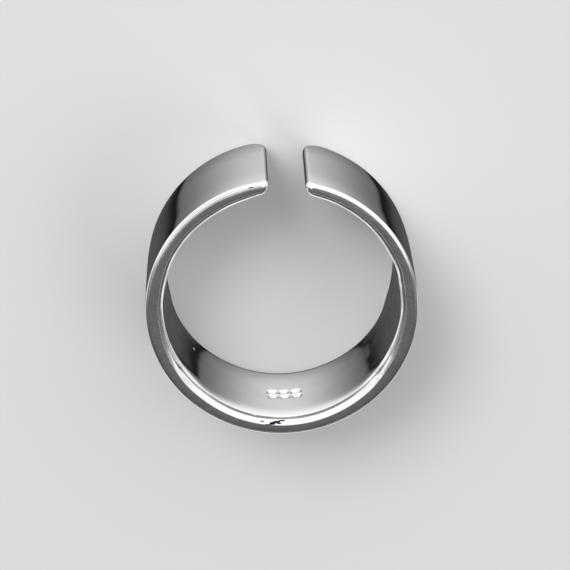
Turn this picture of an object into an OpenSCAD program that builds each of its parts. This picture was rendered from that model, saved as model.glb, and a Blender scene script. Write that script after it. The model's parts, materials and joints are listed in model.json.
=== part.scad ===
// An open band ring: a wide flat strip of polished silver, bent round until a narrow gap is left
// between its ends, so that it can be pressed open or closed a little to fit a finger.
// It lies on its side, with its axis along Z, its lower side face at z = 0 and its gap towards +Y.

/* [Size] */
// Inner diameter, which sets the finger size
inner_d = 17.7; // [13:0.1:23]
// Width of the band along the finger
band_w = 9.5; // [4:0.1:14]
// Thickness of the strip
wall = 1.15; // [0.9:0.05:2]

/* [Gap] */
// Distance between the two ends of the strip
gap = 2.8; // [0.5:0.1:6]
// Radius of the ends' corners at the upper side face, seen from outside
upper_corner_r = 0.6; // [0.2:0.1:1.9]
// Radius of the ends' corners at the lower side face, seen from outside
lower_corner_r = 1.6; // [0.2:0.1:1.9]

/* [Edges] */
// Rounding of the two long edges inside, where the finger slides through
inner_edge_r = 0.45; // [0.1:0.05:0.45]
// Rounding of the two long edges outside
outer_edge_r = 0.35; // [0.1:0.05:0.4]
// Rounding of the short edges across the ends
end_edge_r = 0.3; // [0.05:0.05:0.4]

/* [Hidden] */
$fn = 180;
inner_r = inner_d / 2;
outer_r = inner_r + wall;
// How far a cutting shape runs past the metal that it cuts
past = 1;

// The waste outside a rounded corner, whose point is at the origin and whose metal lies towards +x +y
module corner_waste(r) {
    difference() {
        translate([-past, -past]) square(r + past);
        translate([r, r]) circle(r);
        translate([r, -past]) square([past, r + past]);
    }
}

// The strip's cross-section, with the ring's axis at x = 0
module section() {
    difference() {
        translate([inner_r, 0]) square([wall, band_w]);
        for (upper = [0, 1])
            translate([0, upper * band_w]) mirror([0, upper]) {
                translate([inner_r, 0]) corner_waste(inner_edge_r);
                translate([outer_r, 0]) mirror([1, 0]) corner_waste(outer_edge_r);
            }
    }
}

// The space between the two ends
module slot() {
    translate([-gap / 2, 0, -past]) cube([gap, outer_r + past, band_w + 2 * past]);
}

// The waste at one end's two corners, cut straight through the strip
module end_corners() {
    translate([gap / 2, outer_r + past, 0]) rotate([90, 0, 0]) linear_extrude(outer_r + past) {
        corner_waste(lower_corner_r);
        translate([0, band_w]) mirror([0, 1]) corner_waste(upper_corner_r);
    }
}

// The waste outside one short edge of an end: wall_r is the radius of the wall that the edge meets,
// and side is 1 where the metal ends outwards there and -1 where it ends inwards
module end_edge(wall_r, side) {
    centre_r = wall_r - side * end_edge_r;
    centre_x = gap / 2 + end_edge_r;
    centre = [centre_x, sqrt(centre_r * centre_r - centre_x * centre_x)];
    far_r = wall_r + side * past;
    translate([0, 0, -past]) linear_extrude(band_w + 2 * past)
        difference() {
            polygon([centre, [0, centre.y], [0, far_r], centre * far_r / centre_r]);
            translate(centre) circle(end_edge_r);
        }
}

// The whole ring, one piece of silver
module band() {
    color("silver") difference() {
        rotate_extrude() section();
        slot();
        for (left = [0, 1])
            mirror([left, 0, 0]) {
                end_corners();
                end_edge(outer_r, 1);
                end_edge(inner_r, -1);
            }
    }
}

band();
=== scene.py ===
import json
from math import asin, atan2, degrees, pi, radians

import bmesh
import bpy
from mathutils import Matrix, Vector


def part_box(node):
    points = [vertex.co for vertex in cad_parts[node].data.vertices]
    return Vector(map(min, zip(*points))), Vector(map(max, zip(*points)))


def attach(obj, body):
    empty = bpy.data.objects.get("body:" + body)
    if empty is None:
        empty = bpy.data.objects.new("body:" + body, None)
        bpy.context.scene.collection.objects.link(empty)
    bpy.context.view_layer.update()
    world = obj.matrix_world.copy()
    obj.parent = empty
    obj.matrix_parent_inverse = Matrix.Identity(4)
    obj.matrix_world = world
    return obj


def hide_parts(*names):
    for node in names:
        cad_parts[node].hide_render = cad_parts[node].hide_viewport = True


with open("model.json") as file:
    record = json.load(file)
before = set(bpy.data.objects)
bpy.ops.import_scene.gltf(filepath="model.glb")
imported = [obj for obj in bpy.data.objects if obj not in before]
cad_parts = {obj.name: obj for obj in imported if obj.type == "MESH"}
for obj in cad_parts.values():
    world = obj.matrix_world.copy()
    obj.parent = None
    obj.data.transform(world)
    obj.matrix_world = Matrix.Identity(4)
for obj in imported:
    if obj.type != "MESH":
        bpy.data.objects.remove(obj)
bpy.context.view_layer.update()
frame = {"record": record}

# The camera
# The ring lies on its side, and the camera sees it as the photograph does: from over the gap, looking down
# past the outside of the ends onto the upper side face and into the bore. Its place was fitted to the ring's
# outlines in the photograph.
MM = 0.001
lean = radians(21.8)
yaw = radians(1.44)
gap_turn = radians(2.2)
distance = 204.9 * MM
centre_shift = Vector((0.323, 0.093, 0)) * MM
lowest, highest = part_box("band")
middle = Vector((0, 0, (lowest.z + highest.z) / 2))
ring_to_view = (
    Matrix.Rotation(lean, 3, "X") @ Matrix.Rotation(yaw, 3, "Y") @ Matrix.Rotation(-gap_turn, 3, "Z")
)
view_to_ring = ring_to_view.transposed()
bpy.ops.object.select_all(action="DESELECT")
bpy.ops.object.camera_add(
    location=view_to_ring @ (centre_shift + Vector((0, 0, distance))) + middle,
    rotation=view_to_ring.to_euler(),
)
camera = bpy.context.object
camera.name = "camera"
camera.data.sensor_width = 36
camera.data.lens = 173.54
camera.data.clip_start = 0.01
bpy.context.scene.camera = camera


# The floor
# A plain pale floor that the ring lies on. Mirror-bright metal would show it everywhere, so reflections look
# past it to the studio.
bpy.ops.object.select_all(action="DESELECT")
bpy.ops.mesh.primitive_plane_add(size=6)
floor = bpy.context.object
floor.name = "floor"
floor.visible_glossy = False


class Feed:
    """One output of a node. Arithmetic on it adds Math nodes, and add() makes any other node."""

    def __init__(self, tree, socket=None):
        self.tree = tree
        self.socket = socket

    def add(self, kind, settings, sockets, output=0):
        """Makes a node: its settings come first, then the values and links of its sockets."""
        node = self.tree.nodes.new(kind)
        for name, value in settings.items():
            if name == "stops":
                self.set_stops(node.color_ramp.elements, value)
            else:
                setattr(node, name, value)
        for name, value in sockets.items():
            if isinstance(value, Feed):
                self.tree.links.new(value.socket, node.inputs[name])
            else:
                node.inputs[name].default_value = value
        return Feed(self.tree, node.outputs[output] if node.outputs else None)

    def set_stops(self, elements, stops):
        while len(elements) < len(stops):
            elements.new(1)
        for element, (place, colour) in zip(elements, stops):
            element.position = place
            element.color = (*colour, 1)

    def math(self, operation, *values):
        return self.add("ShaderNodeMath", {"operation": operation}, dict(enumerate(values)))

    def blend(self, share, start, end):
        """Mixes two colours, which are sockets 6 and 7 of a Mix node. Output 2 is the mixed one."""
        return self.add("ShaderNodeMix", {"data_type": "RGBA"}, {"Factor": share, 6: start, 7: end}, 2)

    def __add__(self, other):
        return self.math("ADD", self, other)

    def __radd__(self, other):
        return self.math("ADD", other, self)

    def __sub__(self, other):
        return self.math("SUBTRACT", self, other)

    def __rsub__(self, other):
        return self.math("SUBTRACT", other, self)

    def __mul__(self, other):
        return self.math("MULTIPLY", self, other)

    def __rmul__(self, other):
        return self.math("MULTIPLY", other, self)

    def __truediv__(self, other):
        return self.math("DIVIDE", self, other)

    def __rtruediv__(self, other):
        return self.math("DIVIDE", other, self)


def new_paint(name):
    """A material without nodes, and a feed that adds nodes to it."""
    paint = bpy.data.materials.new(name)
    paint.use_nodes = True
    paint.node_tree.nodes.clear()
    return paint, Feed(paint.node_tree)


floor_paint, floor_mix = new_paint("pale_floor")
floor_shader = floor_mix.add(
    "ShaderNodeBsdfPrincipled", {},
    {"Base Color": (0.70, 0.70, 0.70, 1), "Roughness": 0.9, "Specular IOR Level": 0.0},
)
floor_mix.add("ShaderNodeOutputMaterial", {}, {"Surface": floor_shader})
floor.data.materials.append(floor_paint)


# The studio
# Polished silver has hardly a colour of its own: it shows what it mirrors. So the light comes from a sky that
# is white towards +Y, which is up in the photograph, and from a large card far behind the ring, pale above
# and dark below.
silver_mirrors = 0.92


def grey(level, tint=(1, 1, 1)):
    """The light that shows as a grey level from 0 to 255, once silver has mirrored it."""
    share = level / 255
    linear = share / 12.92 if share < 0.04045 else ((share + 0.055) / 1.055) ** 2.4
    return [linear / silver_mirrors * part for part in tint]


# The sky's levels by how far a direction points towards +Y, from -1 to 1.
cool = (0.98, 0.975, 1.03)
warm = (1.02, 1.0, 0.97)
sky_levels = (
    (-1.00, grey(78, warm)), (-0.70, grey(82, warm)), (-0.42, grey(101, warm)), (-0.25, grey(125, warm)),
    (-0.12, grey(138, warm)), (-0.02, grey(180)), (0.08, grey(240)), (0.15, grey(254)), (1.00, grey(262)),
)
world = bpy.data.worlds.new("studio")
bpy.context.scene.world = world
world.use_nodes = True
world.node_tree.nodes.clear()
sky = Feed(world.node_tree)
direction = sky.add("ShaderNodeTexCoord", {}, {}, "Generated")
height = sky.add("ShaderNodeSeparateXYZ", {}, {"Vector": direction}, "Y")
sky_colour = sky.add(
    "ShaderNodeValToRGB", {"stops": [((y + 1) / 2, colour) for y, colour in sky_levels]},
    {"Fac": height * 0.5 + 0.5},
)
mirrored = sky.add("ShaderNodeBackground", {}, {"Color": sky_colour, "Strength": 1.0})
backdrop = sky.add("ShaderNodeBackground", {}, {"Color": (0.62, 0.62, 0.62, 1), "Strength": 1.0})
seen = sky.add("ShaderNodeLightPath", {}, {}, "Is Camera Ray")
both = sky.add("ShaderNodeMixShader", {}, {0: seen, 1: mirrored, 2: backdrop})
sky.add("ShaderNodeOutputWorld", {}, {"Surface": both})

# The card's levels by the place along Y, in millimetres. Its bands run slightly askew.
card_size = 1.2
card_depth = 0.22
card_slope = 0.02
card_levels = (
    (-600, grey(82, cool)), (-90, grey(82, cool)), (-60, grey(78, cool)), (-40, grey(66, cool)),
    (-27, grey(40, cool)), (-19, grey(26, cool)), (-11, grey(26, cool)), (-8, grey(98, cool)),
    (6, grey(107, cool)), (22, grey(119, cool)), (44, grey(142, cool)), (64, grey(165)), (80, grey(189)),
    (98, grey(212)), (130, grey(235)), (200, grey(252)), (600, grey(262)),
)
bpy.ops.object.select_all(action="DESELECT")
bpy.ops.mesh.primitive_plane_add(size=card_size, location=(0, 0, -card_depth))
bpy.ops.object.transform_apply(location=True)
card = bpy.context.object
card.name = "card"
for kind in ("camera", "diffuse", "transmission", "volume_scatter", "shadow"):
    setattr(card, "visible_" + kind, False)
card_paint, light = new_paint("card_light")
spot = light.add("ShaderNodeTexCoord", {}, {}, "Object")
spot_x = light.add("ShaderNodeSeparateXYZ", {}, {"Vector": spot}, "X")
spot_y = light.add("ShaderNodeSeparateXYZ", {}, {"Vector": spot}, "Y")
card_colour = light.add(
    "ShaderNodeValToRGB", {"stops": [(y * MM / card_size + 0.5, colour) for y, colour in card_levels]},
    {"Fac": (spot_y - spot_x * card_slope) / card_size + 0.5},
)


def lit(value, none_at, full_at):
    """0 where a value in metres is at none_at, rising to 1 at full_at."""
    return light.add("ShaderNodeMapRange", {}, {"Value": value, "From Min": none_at, "From Max": full_at})


# White patches on the card, below the ring and on both sides of it, make the bright lines of the inner and
# outer roundings. There is none at the upper right, which keeps the outer rounding on the right side dull.
aside = light.math("ABSOLUTE", spot_x)
patch_below = lit(spot_y, -0.11, -0.14) * lit(aside, 0.24, 0.18)
patches_beside = lit(spot_y, -0.20, -0.17) * lit(aside, 0.16, 0.21)
upper_right = lit(spot_x, 0.25, 0.35) * lit(spot_y, -0.13, -0.10)
bright = light.math("MAXIMUM", patch_below, patches_beside * (1 - upper_right))
card_colour = light.blend(bright, card_colour, (*grey(255), 1))
glow = light.add("ShaderNodeEmission", {}, {"Color": card_colour, "Strength": 1.0})
light.add("ShaderNodeOutputMaterial", {}, {"Surface": glow})
card.data.materials.append(card_paint)

# Two soft lamps light the floor alone: name, place and size in metres, and power in watts.
lamps = (("key", (-0.25, 0.35, 0.5), 0.3, 1.6), ("fill", (0.4, -0.2, 0.45), 0.4, 0.9))
for name, place_m, size_m, watts in lamps:
    bpy.ops.object.select_all(action="DESELECT")
    aim = (Vector(place_m) * -1).to_track_quat("-Z", "Y").to_euler()
    bpy.ops.object.light_add(type="AREA", location=place_m, rotation=aim)
    lamp = bpy.context.object
    lamp.name = name
    lamp.data.shape = "DISK"
    lamp.data.size = size_m
    lamp.data.energy = watts
    lamp.visible_glossy = False


# The band
# One flat strip of sterling silver. Its corners and edges are rounded and its side faces filed flat, then it
# is buffed, marked inside and bent round a bar until only the gap is left. It is worked here as at the bench:
# flat, in millimetres, its outer face towards -Y and the side face that shows in the photograph at the top.
width = highest.z / MM
outer_r = highest.x / MM
bore_r = next(m for m in frame["record"]["mounts"] if m["name"] == "finger_bore")["dims"]["r_mm"]
wall = outer_r - bore_r
middle_r = (outer_r + bore_r) / 2
half_gap = 1.4
outer_half = middle_r * (pi - asin(half_gap / outer_r))
inner_half = middle_r * (pi - asin(half_gap / bore_r))
upper_corner = 0.6
lower_corner = 1.6
outer_round = 0.35
inner_round = 0.56
round_steps = 12
filed_away = 0.025
tiny = 1e-4
along, through, across = Vector((1, 0, 0)), Vector((0, 1, 0)), Vector((0, 0, 1))

bpy.ops.object.select_all(action="DESELECT")
bpy.ops.mesh.primitive_cube_add(
    size=1, location=(0, 0, width / 2), scale=(2 * outer_half, wall, width + 2 * filed_away)
)
band = bpy.context.object
band.name = "silver_band"
bpy.ops.object.transform_apply(location=True, rotation=True, scale=True)


def choose(kind, test):
    """Selects the vertices, edges or faces of the band that pass a test."""
    bpy.ops.mesh.select_mode(type=kind)
    bpy.ops.mesh.select_all(action="DESELECT")
    shape = bmesh.from_edit_mesh(band.data)
    for part in {"VERT": shape.verts, "EDGE": shape.edges, "FACE": shape.faces}[kind]:
        if test(part):
            part.select = True
    shape.select_flush_mode()
    bmesh.update_edit_mesh(band.data)


def lies_at(edge, axis, place):
    return all(abs(vert.co.dot(axis) - place) < tiny for vert in edge.verts)


def round_off(radius):
    """Rounds the selected edges."""
    bpy.ops.mesh.bevel(
        offset=radius, offset_type="OFFSET", segments=round_steps, affect="EDGES", clamp_overlap=False
    )


def cut(axis, places, **options):
    """Cuts the whole band across at each of the places along an axis."""
    for place in places:
        bpy.ops.mesh.select_all(action="SELECT")
        bpy.ops.mesh.bisect(plane_co=axis * place, plane_no=axis, threshold=tiny, **options)


bpy.ops.object.mode_set(mode="EDIT")
choose("VERT", lambda vert: vert.co.y > 0)
bpy.ops.transform.resize(value=(inner_half / outer_half, 1, 1), center_override=(0, 0, 0))
for edge_z, radius in ((width + filed_away, upper_corner), (-filed_away, lower_corner)):
    choose("EDGE", lambda edge: lies_at(edge, across, edge_z)
           and not lies_at(edge, through, edge.verts[0].co.y))
    round_off(radius)
for face_y, radius in ((-wall / 2, outer_round), (wall / 2, inner_round)):
    choose("EDGE", lambda edge: lies_at(edge, through, face_y))
    round_off(radius)
cut(across, [width], use_fill=True, clear_outer=True)
cut(across, [0], use_fill=True, clear_inner=True)
choose("FACE", lambda face: abs(face.normal.z) > 0.999)
bpy.ops.mesh.region_to_loop()
bpy.ops.mesh.mark_sharp()

# Cross-cuts let the strip bend, and carry its buffed walls and its crowned side faces. They lie closest just
# behind the roundings and where the strip is marked. Rows are given by their distance from the upper or the
# lower side face. The slivers that the cuts leave at the ends' corners are merged away.
pitch = radians(1.0) * middle_r
columns = int(outer_half / pitch)
upper_rows = (
    0.50, 0.55, 0.60, 0.65, 0.70, 0.78, 0.87, 0.98, 1.1, 1.25, 1.4, 1.6, 1.8, 2.0, 2.3, 2.6, 3.0,
)
lower_rows = (0.50, 0.56, 0.63, 0.70, 0.78, 0.87, 1.0, 1.3, 1.6, 2.0, 2.4, 2.8, 3.4)
mark_pitch = pitch / 2
mark_low, mark_high = 4.1, 5.7
mark_margin = 0.1
mark_rows = range(23)
mark_columns = range(-12, 15)
crown_middle = -0.06
side_face_cuts = (-0.32, -0.29, -0.26, -0.24, -0.2, crown_middle, crown_middle + 0.15)
sliver = 0.002
cut(across, [width - row for row in upper_rows])
cut(across, lower_rows)
cut(across, [mark_low - mark_margin + mark_pitch * row for row in mark_rows])
cut(along, [column * pitch for column in range(-columns, columns + 1)])
cut(along, [(column + 0.5) * pitch for column in mark_columns])
cut(through, side_face_cuts)
bpy.ops.mesh.select_all(action="SELECT")
bpy.ops.mesh.remove_doubles(threshold=sliver)
bpy.ops.mesh.dissolve_degenerate(threshold=sliver)
bpy.ops.object.mode_set(mode="OBJECT")

strip = band.data.attributes.new("strip", "FLOAT_VECTOR", "POINT")
for vert in band.data.vertices:
    strip.data[vert.index].vector = vert.co


def push(name, direction, distance, weight):
    """Moves the surface by a distance, times a weight from 0 to 1 for the place in the plain strip."""
    places = [item.vector.copy() for item in band.data.attributes["strip"].data]
    group = band.vertex_groups.new(name=name)
    for index, place in enumerate(places):
        share = weight(place)
        if share > 0:
            group.add([index], min(share, 1), "REPLACE")
    shift = band.modifiers.new(name, "DISPLACE")
    shift.direction = direction
    shift.mid_level = 0
    shift.strength = distance
    shift.vertex_group = name
    bpy.ops.object.modifier_apply(modifier=name)
    band.vertex_groups.remove(band.vertex_groups[name])


def push_both_ways(name, most, shift):
    """Moves the surface inwards by shift's millimetres, or outwards where they are negative, up to most."""
    for way, sign in (("in", 1), ("out", -1)):
        push(f"{name}_{way}", "Y", most * sign, lambda place: max(0, shift(place) * sign) / most)


def soft(share):
    """An S-curve from 0 to 1."""
    share = max(0, min(1, share))
    return share * share * (3 - 2 * share)


def inner(place):
    """1 on the inner wall and its roundings, and 0 on the outer wall and its own."""
    return max(0, min(1, (place.y + wall / 2 - outer_round) / (wall - outer_round - inner_round)))


def outer(place):
    return 1 - inner(place)


def behind(place):
    """How far a place lies behind the upper side face."""
    return width - place.z


def worn(from_edge, reach, power):
    """How much buffing has worn away: nothing beyond its reach, and 1 at the edge."""
    return max(0, 1 - from_edge / reach) ** power


def past(place, start, length):
    """0 up to a start on each side of the strip's middle, then softly rising to 1 over a length."""
    return soft((abs(place.x) - start) / length)


# The outer wall stands a little full in the middle and is buffed away softly towards both side faces.
push("outer_full", "Y", -0.03, outer)
push("outer_buffed_below", "Y", 0.09, lambda place: outer(place) * worn(place.z, 3.0, 2))
push("outer_buffed_above", "Y", 0.055,
     lambda place: outer(place) * worn(behind(place), 2.5, 2) * (0.7 + 0.3 * soft(place.x / 8)))

# The strip is thicker in the lower half of the ring, mostly at its two sides. From there the bore opens
# softly towards both side faces, and its lower edge is worn round at the bottom.
opening_reach = 2.1
opening_power = 3


def beside(place):
    """0 in the middle of the strip and 1 on the two sides of it."""
    return past(place, 4, 4)


def at_marks(place):
    """1 below the marks and 0 from the sides on."""
    return 1 - past(place, 7, 3.5)


def low_bore(place):
    """1 in the bore in the lowest third of the ring and 0 at its sides."""
    return inner(place) * (1 - past(place, 9.5, 3))


def thick_beside(place):
    return inner(place) * soft(1 - max(0, 10.5 - abs(place.x)) / 9) * (1 - past(place, 14, 5))


def opened_above(place):
    """The share by which the bore opens upwards. Beside the marks it levels off near the edge."""
    depth = behind(place)
    level = 0.36 * (1 - at_marks(place))
    depth = (depth + level + ((depth - level) ** 2 + 0.01) ** 0.5) / 2
    opened = worn(depth, opening_reach - 0.4 * beside(place), opening_power)
    return inner(place) * (1 - past(place, 11, 3)) * opened * (1 + 0.21 * beside(place)) / 1.21


push("thick_below", "Y", 0.115, lambda place: inner(place) * (1 - past(place, 13, 8)))
push("thick_beside", "Y", 0.15, thick_beside)
push("bore_opens_above", "Y", -0.34, opened_above)
push("sides_open_above", "Y", -0.13,
     lambda place: inner(place) * worn(max(behind(place), 0.4), 5.0, 2)
     * soft(1 - abs(abs(place.x) - 14.4) / 3))
push("bore_opens_below", "Y", -0.11, lambda place: low_bore(place) * worn(place.z, 3.0, 2))
push("sides_open_below", "Y", -0.1,
     lambda place: low_bore(place) * worn(place.z, 4.9, 2) * beside(place))
push("lower_edge_worn", "Y", -0.55, lambda place: low_bore(place) * worn(place.z, 1.0, 2))

# Below the marks the upper inner rounding is worn almost flat, like a chamfer with a faint edge towards the
# bore. It takes the place of the plain rounding and of the bore's opening there.
chamfer = 0.46
chamfer_slope = 0.713
chamfer_curve = 0.275
opening_at_marks = 0.28


def opened_share(depth):
    """The share by which the bore opens below the marks, at a depth behind the upper side face."""
    return worn(depth, opening_reach, opening_power)


def chamfered(place):
    depth = behind(place)
    if place.y < 0 or depth > inner_round:
        return 0
    turn = min(1, max(0, 1 - (depth + filed_away) / inner_round))
    rounding = inner_round * (1 - (1 - turn * turn) ** 0.5)
    rise = max(0, chamfer - depth)
    flare = opening_at_marks * (opened_share(min(depth, chamfer)) - opened_share(chamfer))
    return at_marks(place) * (rounding + flare - chamfer_slope * rise - chamfer_curve * rise ** 2)


push_both_ways("chamfered", 0.2, chamfered)

# The upper inner rounding wanders a little: millimetres inwards at places along the strip.
wander = (
    (-28.3, -0.12), (-27.5, -0.10), (-26.0, 0.01), (-24.3, 0.04), (-21.0, 0.02), (-19.4, 0.02),
    (-17.7, 0.03), (-14.4, 0.00), (-11.5, 0.00), (-8.0, -0.04), (-6.2, 0.00), (8.6, 0.00), (10.2, 0.04),
    (11.9, 0.04), (14.4, 0.00), (17.0, 0.00), (18.5, -0.04), (20.1, 0.00), (23.4, -0.08), (26.7, -0.13),
    (28.3, -0.14),
)


def wandered(place):
    for (start, before), (end, after) in zip(wander, wander[1:]):
        if start <= place.x <= end:
            shift = before + (after - before) * soft((place.x - start) / (end - start))
            return inner(place) * soft((1.5 - behind(place)) / 0.9) * shift
    return 0


push_both_ways("rounding", 0.14, wandered)

# Both side faces are filed slightly crowned. Towards the left end of the strip the outer edge of the upper
# one is buffed wider.
crown_half = 0.295
crown_drop = 0.012
outer_edge = -0.35


def crowned(place):
    return min(1, ((place.y - crown_middle) / crown_half) ** 2)


def near(depth):
    """1 at a side face, and 0 from 1 mm behind it."""
    return soft((1 - depth) / 0.5)


push("upper_crown", "Z", -crown_drop, lambda place: crowned(place) * near(behind(place)))
push("lower_crown", "Z", crown_drop, lambda place: crowned(place) * near(place.z))
push("outer_edge_wide", "Z", -0.036,
     lambda place: worn(max(0, place.y - outer_edge), 0.1, 1) * near(behind(place))
     * (1 - soft((place.x + 20) / 4)))

# Three plain punch marks in the bore, each made of two oval blows that go in deeper at their upper ends:
# place along the strip, 0 for the lower blow or 1 for the upper, half length.
blow_height = (mark_high - mark_low) / 2
blows = (
    (-0.34, 0, 0.44), (-0.29, 1, 0.41), (0.61, 0, 0.40), (0.67, 1, 0.45), (1.60, 0, 0.45), (1.66, 1, 0.42),
)
for blow_x, level, half in blows:
    def struck(place):
        up = (place.z - mark_low) / blow_height - level
        oval = 1 - ((place.x - blow_x) / half) ** 2 - abs(2 * up - 1) ** 3
        return inner(place) * soft(oval / 0.7) * max(0, min(1, 0.2 + up))
    push("punch_mark", "Y", -0.12, struck)

# Nicks in the inner rounding below the marks: place along the strip, turn round the rounding, half length,
# half turn, in millimetres and degrees. One more lies on the outer rounding, near the left end.
nicks = (
    (-1.55, 64, 0.34, 4), (-1.20, 54, 0.22, 3), (-0.74, 26, 0.38, 6), (-0.40, 42, 0.28, 18),
    (-0.08, 56, 0.36, 11), (0.16, 44, 0.20, 6), (0.32, 66, 0.34, 6), (0.95, 26, 0.34, 4),
)
outer_nick_x, outer_nick_y = -27, -0.39


def dent(off_x, half_x, off_round, half_round):
    """1 in the middle of an oval and 0 at its rim."""
    return soft(1 - (off_x / half_x) ** 2 - (off_round / half_round) ** 2)


def nicked(place):
    if place.y < 0:
        outer_nick = dent(place.x - outer_nick_x, 0.22, place.y - outer_nick_y, 0.04)
        return outer_nick * soft(1 - behind(place))
    turn = degrees(atan2(place.y - wall / 2 + inner_round, inner_round - filed_away - behind(place)))
    return max(dent(place.x - x, half, turn - middle_turn, half_turn)
               for x, middle_turn, half, half_turn in nicks)


push("nicks", "NORMAL", -0.05, nicked)
bruised = band.data.attributes.new("bruised", "FLOAT", "POINT")
for item, place in zip(bruised.data, band.data.attributes["strip"].data):
    item.value = nicked(place.vector)

bend = band.modifiers.new("bend", "SIMPLE_DEFORM")
bend.deform_method = "BEND"
bend.deform_axis = "Z"
bend.angle = 2 * outer_half / middle_r
bpy.ops.object.modifier_apply(modifier=bend.name)
bpy.ops.object.mode_set(mode="EDIT")
bpy.ops.mesh.select_all(action="SELECT")
bpy.ops.transform.translate(value=(0, -middle_r, 0))
bpy.ops.transform.resize(value=(MM, MM, MM), center_override=(0, 0, 0))
bpy.ops.mesh.normals_make_consistent(inside=False)
bpy.ops.object.mode_set(mode="OBJECT")
bpy.ops.object.shade_smooth()
even = band.modifiers.new("even", "WEIGHTED_NORMAL")
even.weight = 50
even.keep_sharp = True
bpy.ops.object.modifier_apply(modifier=even.name)

# The silver: mirror-bright walls with faint buffing strokes, and satin side faces crossed by file marks and
# coloured darker as painted shade. All patterns follow the strip, in millimetres, as it was before bending.
silver, metal = new_paint("polished_silver")
flat = metal.add("ShaderNodeAttribute", {"attribute_name": "strip"}, {}, "Vector")
x, y, z = (metal.add("ShaderNodeSeparateXYZ", {}, {"Vector": flat}, name) for name in "XYZ")
along_strip = metal.math("ABSOLUTE", x)
bright_silver = (0.93, 0.925, 0.92, 1)
# The darker silver colours the worn patches, and as painted shade the filed side faces and the groove line.
worn_and_shaded_silver = (0.2, 0.19, 0.185, 1)
nick_black = (0.02, 0.02, 0.026, 1)


def step(value, start, end):
    """0 where a value is at or before the start, softly rising to 1 at the end."""
    return metal.add(
        "ShaderNodeMapRange", {"interpolation_type": "SMOOTHSTEP"},
        {"Value": value, "From Min": start, "From Max": end},
    )


def apart(value, middle):
    """How far a value is from a middle."""
    return metal.math("ABSOLUTE", value - middle)


def noise(a, b, c, detail=2.0):
    """Cloudy values about 0.5, with features of about 1 in a, b and c."""
    where = metal.add("ShaderNodeCombineXYZ", {}, {0: a, 1: b, 2: c})
    return metal.add("ShaderNodeTexNoise", {}, {"Vector": where, "Scale": 1.0, "Detail": detail}, 0)


filed = step(metal.math("MINIMUM", z, width - z), 0.014, 0.002)
polished = 1 - filed
in_bore = step(y, 0.0, 0.4)
half_root_two = 0.7071
rising = (x + y) * half_root_two
falling = (x - y) * half_root_two
hatch = noise(rising * 1.1, falling * 5.5, z, 3.0) + noise(rising * 6.5, falling * 1.3, z + 9, 3.0) * 0.7
patches = noise(x * 0.45, y * 1.4, z + 4, 3.0)
strokes = noise(x * 0.5, y * 0.5, z * 5.0, 3.0)
ripple = noise(x * 0.35, y * 0.3, z * 0.28, 1.0)

# A fine score runs along the outer rounding near the left end.
round_y = outer_round - wall / 2
round_z = width + filed_away - outer_round
score_turn = 0.68
turn = metal.math("ARCTAN2", round_y - y, z - round_z)
score = step(apart(turn, score_turn), 0.09, 0.0) * step(x, -28.0, -25.0) * step(x, -17.0, -21.0)
score = score * step(y, round_y, round_y - 0.02)

# A thin shallow groove in the bore just behind the rounding of the upper side face, with a painted shade line
# along it, nicks coloured nearly black, worn patches on both sides of the bore, and one tiny pit.
line_behind = 0.50
# Painted shade: a dark line painted along the shallow groove behind the upper inner rounding.
shaded_groove = step(apart(width - z, line_behind), 0.13, 0.05) * step(along_strip, 9.0, 5.0)
shaded_groove = in_bore * shaded_groove * step(noise(x * 1.3, 0.5, 3.0), 0.1, 0.5) * 0.85
grain = noise(x * 5.0, y * 5.0, z * 5.0, 2.0)
bruises = metal.add("ShaderNodeAttribute", {"attribute_name": "bruised"}, {}, "Fac")
# The nicks are coloured nearly black.
dark_nicks = step(bruises + grain * 0.8, 0.60, 0.85)
worn_beside = in_bore * step(along_strip, 5.5, 9.0)
smudges = noise(x * 0.8, y, z * 0.8, 4.0)
pit_x, pit_z = -7.78, 3.38
pit = in_bore * step(apart(x, pit_x), 0.12, 0.02) * step(apart(z, pit_z), 0.26, 0.05)

relief = filed * (hatch * 0.018 + patches * 0.03) - shaded_groove * 0.02 - pit * 0.06
relief = relief + polished * (strokes * 0.0016 + ripple * (0.004 + in_bore * 0.02)) - score * 0.03
bumped = metal.add("ShaderNodeBump", {}, {"Strength": 1.0, "Distance": MM, "Height": relief})

sheen = 0.025 + in_bore * 0.035 + ripple * 0.02 + strokes * 0.015
dull = filed * (0.24 + patches * 0.14) + polished * (sheen + shaded_groove * 0.2 + dark_nicks * 0.3)
dull = dull + worn_beside * step(smudges, 0.4, 0.65) * step(x, -3.0, 6.0) * 0.15

# Painted shade: the filed side faces are coloured darker, patterned by the file marks.
filed_face_shade = 0.38 + step(patches, 0.3, 0.75) * 0.2 + step(hatch, 0.6, 1.1) * 0.08
shade_and_wear = metal.math("MAXIMUM", filed * filed_face_shade, shaded_groove)
shade_and_wear = metal.math("MAXIMUM", shade_and_wear, worn_beside * step(smudges, 0.3, 0.7) * 0.35)
tone = metal.blend(dark_nicks, metal.blend(shade_and_wear, bright_silver, worn_and_shaded_silver), nick_black)
polish = metal.add(
    "ShaderNodeBsdfPrincipled", {}, {"Base Color": tone, "Metallic": 1.0, "Roughness": dull, "Normal": bumped}
)
metal.add("ShaderNodeOutputMaterial", {}, {"Surface": polish})
band.data.materials.append(silver)
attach(band, "root")
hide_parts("band")

bpy.context.scene.view_settings.view_transform = "Standard"
